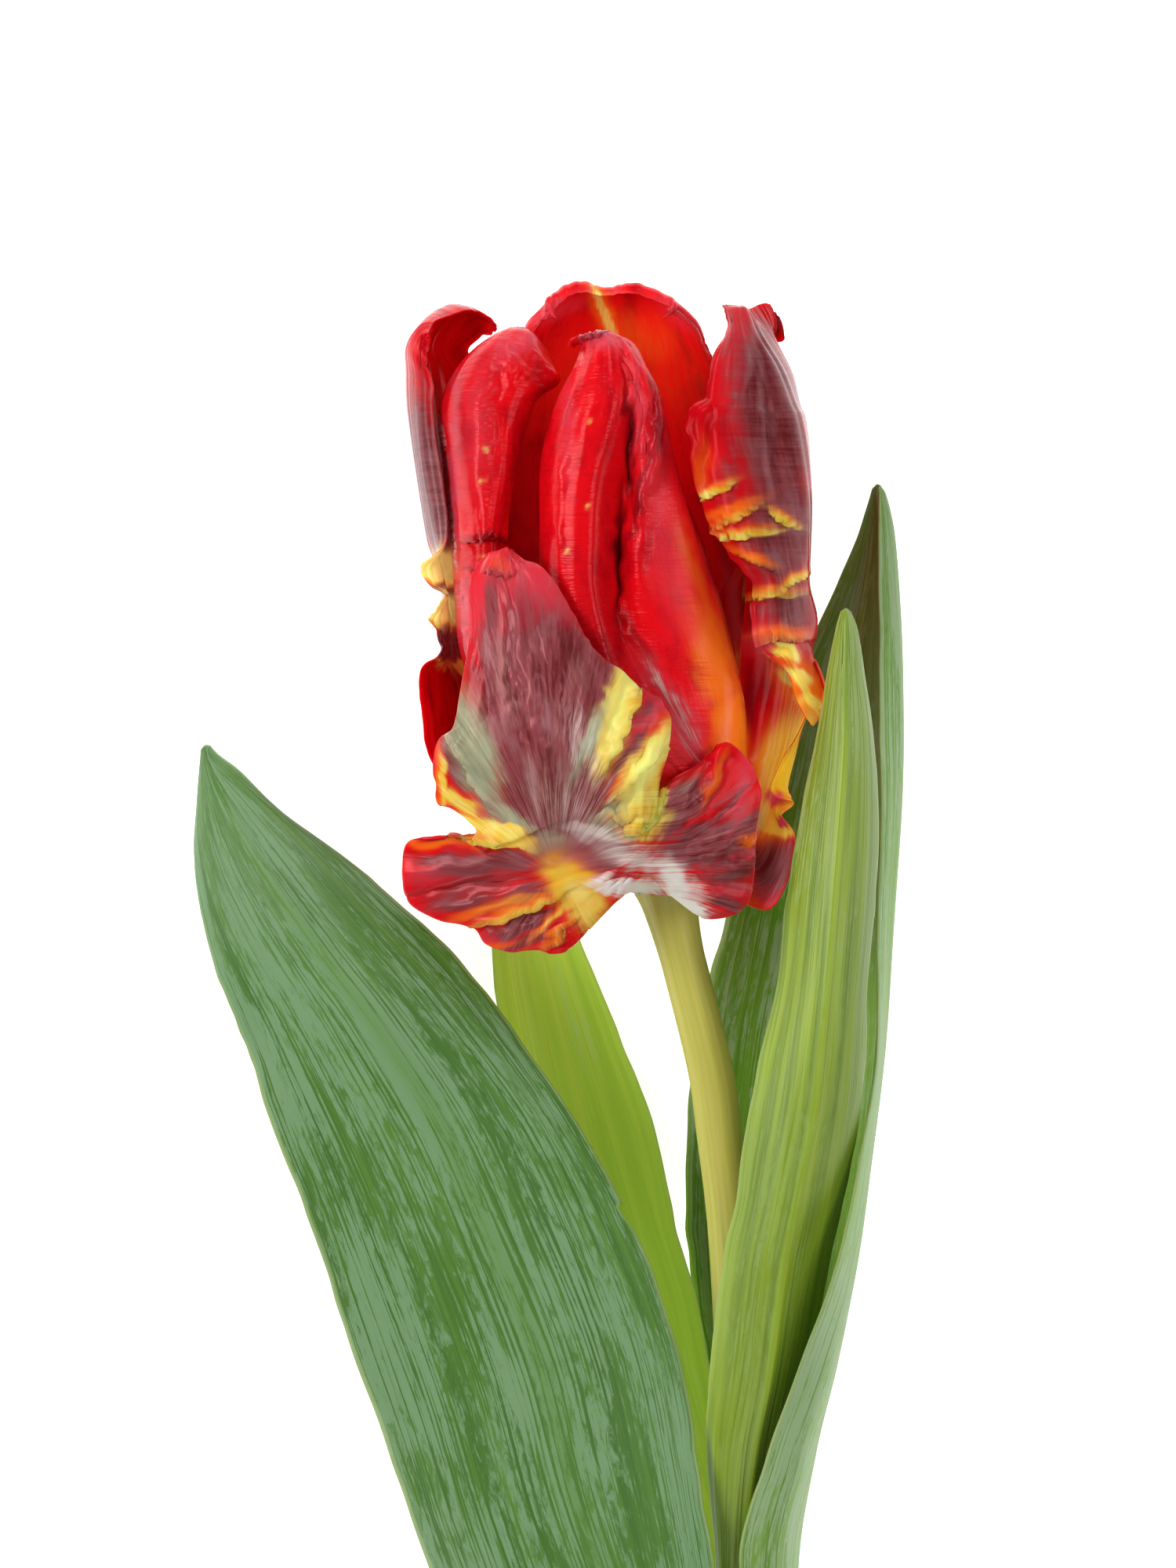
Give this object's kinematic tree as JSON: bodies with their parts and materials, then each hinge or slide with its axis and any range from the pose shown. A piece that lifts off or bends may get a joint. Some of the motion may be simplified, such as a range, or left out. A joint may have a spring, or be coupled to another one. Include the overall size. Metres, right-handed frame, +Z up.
{
  "type": "parrot tulip",
  "caption": "Cut parrot tulip lying on its back: ragged, frilled tepals round a pistil and stamens, on a curved stem with clasping leaves.",
  "frame": {"origin": "middle of the flower's bounding box, on the surface that the flower lies on", "axes": "+Y along the stem towards the bloom's tip, +Z up from the surface, +X to the flower's right seen from above"},
  "size_m": [0.0915, 0.2682, 0.0476],
  "materials": {
    "stem": "satin, waxy",
    "leaf": "waxy, bluish bloom",
    "tepal_inner": "satin",
    "tepal_outer": "satin",
    "pistil": "satin",
    "stamen": "matte"
  },
  "bodies": {
    "root": {"stem": "stem", "pistil": "pistil", "stamen_1": "stamen", "stamen_2": "stamen", "stamen_3": "stamen", "stamen_4": "stamen", "stamen_5": "stamen", "stamen_6": "stamen", "tepal_inner_back": "tepal_inner", "tepal_inner_left": "tepal_inner", "tepal_inner_right": "tepal_inner", "tepal_outer_front": "tepal_outer", "tepal_outer_left": "tepal_outer", "tepal_outer_right": "tepal_outer", "leaf_left_front": "leaf", "leaf_right_front": "leaf", "leaf_right_back": "leaf", "leaf_left_back": "leaf"}
  },
  "joints": []
}
